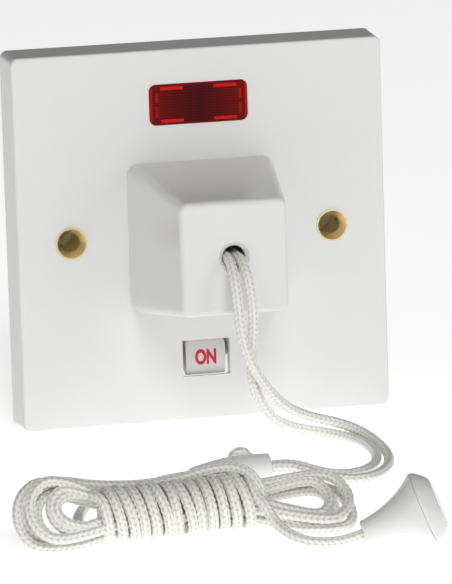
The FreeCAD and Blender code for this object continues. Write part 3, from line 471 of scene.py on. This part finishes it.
def centreline(name, route):
    """Points in metres, evenly spaced, along the smooth line that a route's NURBS spline gives."""
    data = bpy.data.curves.new(name, "CURVE")
    data.dimensions = "3D"
    data.resolution_u = 8
    spline = data.splines.new("NURBS")
    spline.points.add(len(route) - 1)
    for point, place in zip(spline.points, route):
        point.co = (*(Vector(place) * MM), 1)
    spline.order_u = 3
    spline.use_endpoint_u = True
    carrier = link(bpy.data.objects.new(name, data))
    mesh = bpy.data.meshes.new_from_object(carrier)
    raw = np.array([vertex.co[:] for vertex in mesh.vertices])
    bpy.data.objects.remove(carrier)
    bpy.data.meshes.remove(mesh)
    gaps = np.linalg.norm(np.diff(raw, axis=0), axis=1)
    reached = np.concatenate([[0], np.cumsum(gaps)])
    count = max(2, round(reached[-1] / (RING_STEP * MM)))
    even = np.linspace(0, reached[-1], count)
    return np.stack([np.interp(even, reached, raw[:, k]) for k in range(3)], axis=1)


def carried_frames(path):
    """A side and an up vector at each point, carried along the path without twist."""
    tangents = np.gradient(path, axis=0)
    tangents /= np.linalg.norm(tangents, axis=1)[:, None]
    side = np.cross(tangents[0], (0.0, 0.0, 1.0))
    if np.linalg.norm(side) < 0.1:
        side = np.cross(tangents[0], (1.0, 0.0, 0.0))
    sides = np.empty_like(path)
    for number, tangent in enumerate(tangents):
        side = side - tangent * side.dot(tangent)
        side = side / np.linalg.norm(side)
        sides[number] = side
    return sides, np.cross(tangents, sides)


def stitch_relief(along, around):
    """Height from 0 to 1 of a braid whose stitches form V shapes; along in millimetres, around in turns."""
    column = COLUMNS * around
    across = column % 1
    hand = 1 - 2 * (np.floor(column) % 2)
    climb = (along / STITCH_PITCH + hand * STITCH_LEAN * (across - 0.5)) % 1
    ridge = STITCH_GROOVE + (1 - STITCH_GROOVE) * np.sin(np.pi * across) ** STITCH_ROUND
    return ridge * np.sin(np.pi * climb) ** STITCH_ROUND


def braided_cord(name, path):
    """A tube with its stitches in the mesh itself."""
    sides, ups = carried_frames(path)
    rings = len(path)
    around = np.arange(RING_SIDES) / RING_SIDES
    steps = np.concatenate([[0], np.cumsum(np.linalg.norm(np.diff(path, axis=0), axis=1))]) / MM
    relief = stitch_relief(steps[:, None], around[None, :])
    radius = (CORE_RADIUS + STITCH_HEIGHT * relief) * MM
    angle = 2 * np.pi * around
    spokes = sides[:, None] * np.cos(angle)[None, :, None] + ups[:, None] * np.sin(angle)[None, :, None]
    vertices = path[:, None] + spokes * radius[:, :, None]
    first = np.arange(rings - 1)[:, None] * RING_SIDES + np.arange(RING_SIDES)[None, :]
    following = np.arange(rings - 1)[:, None] * RING_SIDES + (np.arange(RING_SIDES)[None, :] + 1) % RING_SIDES
    faces = np.stack([first, following, following + RING_SIDES, first + RING_SIDES], axis=-1).reshape(-1, 4)
    caps = [list(range(RING_SIDES))[::-1], [(rings - 1) * RING_SIDES + k for k in range(RING_SIDES)]]
    mesh = bpy.data.meshes.new(name)
    mesh.from_pydata(vertices.reshape(-1, 3).tolist(), [], faces.tolist() + caps)
    attribute = mesh.attributes.new("relief", "FLOAT", "POINT")
    attribute.data.foreach_set("value", relief.reshape(-1).astype(np.float32))
    shade_smooth(mesh)
    mesh.materials.append(LOOKS["cord_braid"])
    cord = link(bpy.data.objects.new(name, mesh))
    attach(cord, "pull")
    return cord


front_path = centreline("front", front_route)
rear_path = centreline("rear", rear_route)
upper_front = braided_cord("pull_cord_front", front_path)
upper_rear = braided_cord("pull_cord_rear", rear_path)
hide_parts("cord_strand_front")
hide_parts("cord_strand_rear")

lower_route = CORD_TO_HANK + locking_strand()
for loop in LOOPS:
    lower_route += loop_points(*loop)
lower_route += wrap_points()
lower_route += CORD_TO_PULL
lower_path = centreline("lower", lower_route)
lower = braided_cord("pull_cord_lower", lower_path)
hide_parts("cord_to_hank", "cord_hank", "cord_to_pull")


# ---------------------------------------------------------------- connector and acorn pull, as turned pieces
LATHE_SIDES = 240
CORNER = math.radians(20)


def softened(outline, radius):
    """The same outline with every bend sharper than CORNER rounded off."""
    points = []
    count = len(outline)
    for number, here in enumerate(outline):
        before = Vector(outline[number - 1])
        after = Vector(outline[(number + 1) % count])
        here = Vector(here)
        if (here - before).angle(after - here, 0) < CORNER:
            points.append(tuple(here))
            continue
        start = here + (before - here).normalized() * min(radius, (before - here).length * 0.45)
        end = here + (after - here).normalized() * min(radius, (after - here).length * 0.45)
        for share in (0, 0.25, 0.5, 0.75, 1):
            point = start * (1 - share) ** 2 + here * 2 * share * (1 - share) + end * share ** 2
            points.append(tuple(point))
    return points


def lathe(name, outline, origin, axis, node_name, body="pull", look="milky_plastic"):
    """A smooth turned piece from (radius, height) points in millimetres."""
    vertices = []
    faces = []
    spin = Quaternion(UP.cross(axis).normalized(), UP.angle(axis))
    for radius, height in outline:
        for side in range(LATHE_SIDES):
            turn = 2 * math.pi * side / LATHE_SIDES
            local = Vector((radius * math.cos(turn), radius * math.sin(turn), height))
            vertices.append((origin + spin @ local) * MM)
    count = len(outline)
    for ring in range(count):
        after = (ring + 1) % count
        for side in range(LATHE_SIDES):
            beside = (side + 1) % LATHE_SIDES
            a = ring * LATHE_SIDES
            b = after * LATHE_SIDES
            faces.append((a + side, a + beside, b + beside, b + side))
    mesh = bpy.data.meshes.new(name)
    mesh.from_pydata([v[:] for v in vertices], [], faces)
    mesh.validate()
    shape = bmesh.new()
    shape.from_mesh(mesh)
    bmesh.ops.recalc_face_normals(shape, faces=shape.faces[:])
    shape.to_mesh(mesh)
    shape.free()
    shade_smooth(mesh)
    mesh.set_sharp_from_angle(angle=math.radians(35))
    mesh.materials.append(LOOKS[look])
    obj = link(bpy.data.objects.new(name, mesh))
    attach(obj, body)
    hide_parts(node_name)
    return obj


BELL_STRAIGHT = 0.3         # this share of the flare is straight, the rest curves out to the rim
BELL_POWER = 2.6


def bell_radius(height):
    share = height / PULL_BELL
    flare = BELL_STRAIGHT * share + (1 - BELL_STRAIGHT) * share ** BELL_POWER
    return PULL_NECK + (PULL_RIM - PULL_NECK) * flare


BELL_STEPS = 40
PULL_WALL = 1.3
FLOOR_STEP = 11             # the hollow ends at this step, and only the cord's hole goes on
KNOT_ROOM = 1.25            # smallest radius of the hollow
bell_outline = []
for step in range(BELL_STEPS + 1):
    height = PULL_BELL * step / BELL_STEPS
    bell_outline.append((bell_radius(height), height))
for step in range(BELL_STEPS, FLOOR_STEP, -1):
    height = PULL_BELL * step / BELL_STEPS
    bell_outline.append((max(KNOT_ROOM, bell_radius(height) - PULL_WALL), height))
bell_outline.append((CORD / 2, PULL_BELL * FLOOR_STEP / BELL_STEPS))
bell_outline.append((CORD / 2, 0))
acorn = lathe("acorn_pull", softened(bell_outline, 0.22), PULL_BASE, pull_axis, "acorn_bell")

PLUG_DEEP = 1.2             # how far the cap reaches into the bell
PLUG_PLAY = 0.1
plug = bell_radius(PULL_BELL - PLUG_DEEP) - PULL_WALL - PLUG_PLAY
pull_top = PULL_BELL + PULL_CAP
cap_outline = [
    (0.01, PULL_BELL - PLUG_DEEP), (plug, PULL_BELL - PLUG_DEEP), (plug, PULL_BELL),
    (PULL_RIM - 0.05, PULL_BELL), (PULL_RIM - 0.3, PULL_BELL + 0.8), (PULL_END + 1.1, pull_top - 0.7),
    (PULL_END, pull_top), (PULL_END * 0.85, pull_top), (PULL_END * 0.5, pull_top), (0.01, pull_top),
]
acorn_end = lathe("acorn_end", softened(cap_outline, 0.5), PULL_BASE, pull_axis, "acorn_cap")


TIP_RADIUS = 1.66
MOUTH_RADIUS = 2.95
BULGE = 0.85


def horn_outline(bore, low, high, steps=20):
    points = [(bore, low)]
    for step in range(steps + 1):
        height = low + (high - low) * step / steps
        share = height / CONNECTOR_LENGTH
        radius = TIP_RADIUS + (MOUTH_RADIUS - TIP_RADIUS) * share + BULGE * math.sin(math.pi * share)
        points.append((radius, height))
    points.append((bore, high))
    return points


CONNECTOR_JOINT = 9.5
narrow = lathe("connector_narrow", softened(horn_outline(CORD / 2, 0, CONNECTOR_JOINT), 0.14), CONNECTOR_TIP,
               connector_axis, "connector_narrow_half")
WIDE_BORE = 2.4
wide_outline = softened(horn_outline(WIDE_BORE, CONNECTOR_JOINT, CONNECTOR_LENGTH), 0.2)
wide = lathe("connector_wide", wide_outline, CONNECTOR_TIP, connector_axis, "connector_wide_half")

LOOP_RADIUS = 1.7
LOOP_AT = 11.4              # along the connector from its tip
LOOP_ASIDE = 1.2            # behind the connector's middle
LOOP_FOOT = 5.3             # height of the loop's two ends
loop_centre = CONNECTOR_TIP + connector_axis * LOOP_AT + connector_side * LOOP_ASIDE
loop_centre.z = LOOP_FOOT
loop_route = []
for degrees in range(0, 181, 15):
    turn = math.radians(degrees)
    reach = connector_way * LOOP_RADIUS * math.cos(turn) + UP * LOOP_RADIUS * math.sin(turn)
    loop_route.append(loop_centre + reach)
small_path = centreline("small", loop_route)
small_loop = braided_cord("connector_cord_loop", small_path)
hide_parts("connector_loop")


# ---------------------------------------------------------------- return spring, one fixed coil; a pull shortens the real one
SPRING_SEAT = -26.9
SPRING_END = -9.0
SPRING_MEAN = 5.0
SPRING_WIRE = 0.9
SPRING_TURNS = 8
WIRE_SIDES = 14
COIL_POINTS = 40


def coil_mesh():
    count = SPRING_TURNS * COIL_POINTS + 1
    turns = np.linspace(0, SPRING_TURNS, count)
    first = SPRING_SEAT + SPRING_WIRE / 2
    last = SPRING_END - SPRING_WIRE / 2
    path = np.stack([SPRING_MEAN * np.cos(2 * np.pi * turns), np.linspace(first, last, count),
                     SPRING_MEAN * np.sin(2 * np.pi * turns)], axis=1) * MM + np.array(PLATE_CENTRE)
    sides, ups = carried_frames(path)
    angle = 2 * np.pi * np.arange(WIRE_SIDES) / WIRE_SIDES
    spokes = sides[:, None] * np.cos(angle)[None, :, None] + ups[:, None] * np.sin(angle)[None, :, None]
    vertices = path[:, None] + spokes * (SPRING_WIRE / 2 * MM)
    faces = []
    for ring in range(count - 1):
        for side in range(WIRE_SIDES):
            beside = (side + 1) % WIRE_SIDES
            base = ring * WIRE_SIDES
            faces.append((base + side, base + beside, base + WIRE_SIDES + beside, base + WIRE_SIDES + side))
    caps = [list(range(WIRE_SIDES))[::-1], [(count - 1) * WIRE_SIDES + k for k in range(WIRE_SIDES)]]
    mesh = bpy.data.meshes.new("return_coil")
    mesh.from_pydata(vertices.reshape(-1, 3).tolist(), [], faces + caps)
    shade_smooth(mesh)
    mesh.materials.append(LOOKS["spring_steel"])
    return mesh


coil = link(bpy.data.objects.new("return_coil", coil_mesh()))
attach(coil, "housing")
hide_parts("return_spring")
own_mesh(coil)


# ---------------------------------------------------------------- words on the flag
def flag_word(name, text, colour):
    """A printed word that follows the flag drum's curve."""
    material, tree, shader = principled(name + "_ink", colour, 0.4)
    tint = ramp(tree, noise(tree, 1500), [(0.3, varied(colour, 0.9)), (0.7, colour)])
    tree.links.new(tint, shader.inputs["Base Color"])
    data = bpy.data.curves.new(name, "FONT")
    data.body = text
    data.offset = 0.045
    data.extrude = 0.02
    carrier = link(bpy.data.objects.new(name, data))
    mesh = bpy.data.meshes.new_from_object(carrier)
    bpy.data.objects.remove(carrier)
    shape = bmesh.new()
    shape.from_mesh(mesh)
    low = [min(v.co[k] for v in shape.verts) for k in range(3)]
    high = [max(v.co[k] for v in shape.verts) for k in range(3)]
    for v in shape.verts:
        v.co.x = ((v.co.x - low[0]) / (high[0] - low[0]) - 0.5) * WORD_WIDTH
        v.co.y = ((v.co.y - low[1]) / (high[1] - low[1]) - 0.5) * WORD_HEIGHT
        v.co.z = (v.co.z - low[2]) / (high[2] - low[2])
    for cut in range(-WORD_CUTS, WORD_CUTS + 1):
        place = Vector((0, cut * WORD_HEIGHT / (2 * WORD_CUTS + 1), 0))
        everything = shape.verts[:] + shape.edges[:] + shape.faces[:]
        bmesh.ops.bisect_plane(shape, geom=everything, plane_co=place, plane_no=(0, 1, 0))
    for v in shape.verts:
        turn = v.co.y / FLAG_RADIUS
        reach = FLAG_RADIUS - INK_SUNK + INK_THICK * v.co.z
        v.co = Vector((v.co.x, FLAG_Y - reach * math.cos(turn), FLAG_Z + reach * math.sin(turn))) * MM
    bmesh.ops.recalc_face_normals(shape, faces=shape.faces[:])
    shape.to_mesh(mesh)
    shape.free()
    mesh.materials.clear()
    mesh.materials.append(material)
    obj = link(bpy.data.objects.new(name, mesh))
    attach(obj, "flag")
    return obj


FLAG_RADIUS = 12.0
FLAG_Y = 12.7
FLAG_Z = 14.7
WORD_WIDTH = 4.9
WORD_HEIGHT = 3.6
WORD_CUTS = 5               # level cuts above and below the middle, so that the word can bend
INK_SUNK = 0.05
INK_THICK = 0.09
flag_word("flag_word_on", "ON", (0.60, 0.006, 0.05))


# ---------------------------------------------------------------- camera, its distances in millimetres
AZIMUTH = math.radians(-12.8588)
ELEVATION = math.radians(10.7196)
ROLL = math.radians(-1.7852)
DISTANCE = 1250.17
FRAME_RIGHT = 5.288
FRAME_UP = -13.025
LENS = 341.8

towards = Vector((math.sin(AZIMUTH) * math.cos(ELEVATION), -math.cos(AZIMUTH) * math.cos(ELEVATION),
                  math.sin(ELEVATION)))
level = (-towards).cross(UP).normalized()
upright = level.cross(-towards)
right = level * math.cos(ROLL) + upright * math.sin(ROLL)
top = upright * math.cos(ROLL) - level * math.sin(ROLL)
place = PLATE_CENTRE + (towards * DISTANCE + right * FRAME_RIGHT + top * FRAME_UP) * MM
camera_data = bpy.data.cameras.new("camera")
camera_data.lens = LENS
camera_data.sensor_width = 36
camera_data.clip_start = 0.05
camera_data.clip_end = 20
camera = link(bpy.data.objects.new("camera", camera_data))
camera.matrix_world = Matrix((
    (right.x, top.x, towards.x, place.x), (right.y, top.y, towards.y, place.y),
    (right.z, top.z, towards.z, place.z), (0, 0, 0, 1)))
bpy.context.scene.camera = camera


# ---------------------------------------------------------------- floor, backdrop and lights, in metres
FLOOR_HALF = 3.0
FLOOR_FRONT = -2.0
FLOOR_BACK = 2.2
SWEEP = 0.3
SWEEP_STEPS = 8


def floor_and_backdrop():
    """A pale sheet that rises in a smooth sweep behind the object."""
    profile = [(FLOOR_FRONT, 0.0), (FLOOR_BACK, 0.0)]
    for step in range(1, SWEEP_STEPS + 1):
        turn = math.pi / 2 * step / SWEEP_STEPS
        profile.append((FLOOR_BACK + SWEEP * math.sin(turn), SWEEP - SWEEP * math.cos(turn)))
    vertices = []
    for y, z in profile:
        vertices += [(-FLOOR_HALF, y, z), (FLOOR_HALF, y, z)]
    faces = [(2 * k, 2 * k + 1, 2 * k + 3, 2 * k + 2) for k in range(len(profile) - 1)]
    mesh = bpy.data.meshes.new("backdrop")
    mesh.from_pydata(vertices, [], faces)
    shade_smooth(mesh)
    material, tree, shader = principled("paper", (0.92, 0.92, 0.92), 0.8)
    shader.inputs["Emission Color"].default_value = (1, 1, 1, 1)
    shader.inputs["Emission Strength"].default_value = 0.70
    mesh.materials.append(material)
    link(bpy.data.objects.new("backdrop", mesh))


def softbox(name, location, size, power, target=PLATE_CENTRE):
    data = bpy.data.lights.new(name, "AREA")
    data.shape = "RECTANGLE"
    data.size, data.size_y = size
    data.energy = power
    light = link(bpy.data.objects.new(name, data))
    light.location = location
    light.rotation_mode = "QUATERNION"
    light.rotation_quaternion = (target - Vector(location)).to_track_quat("-Z", "Y")


floor_and_backdrop()
softbox("left_key", (-0.80, -0.95, 0.45), (0.45, 0.6), 1.05)
softbox("right_fill", (0.75, -0.95, 0.24), (0.35, 0.5), 1.55)
softbox("front_fill", (-0.05, -1.2, 0.85), (0.5, 0.4), 6.6)
world = bpy.data.worlds.new("room")
world.use_nodes = True
world.node_tree.nodes["Background"].inputs["Color"].default_value = (1, 1, 1, 1)
world.node_tree.nodes["Background"].inputs["Strength"].default_value = 0.1
bpy.context.scene.world = world
bpy.context.scene.view_settings.view_transform = "Standard"
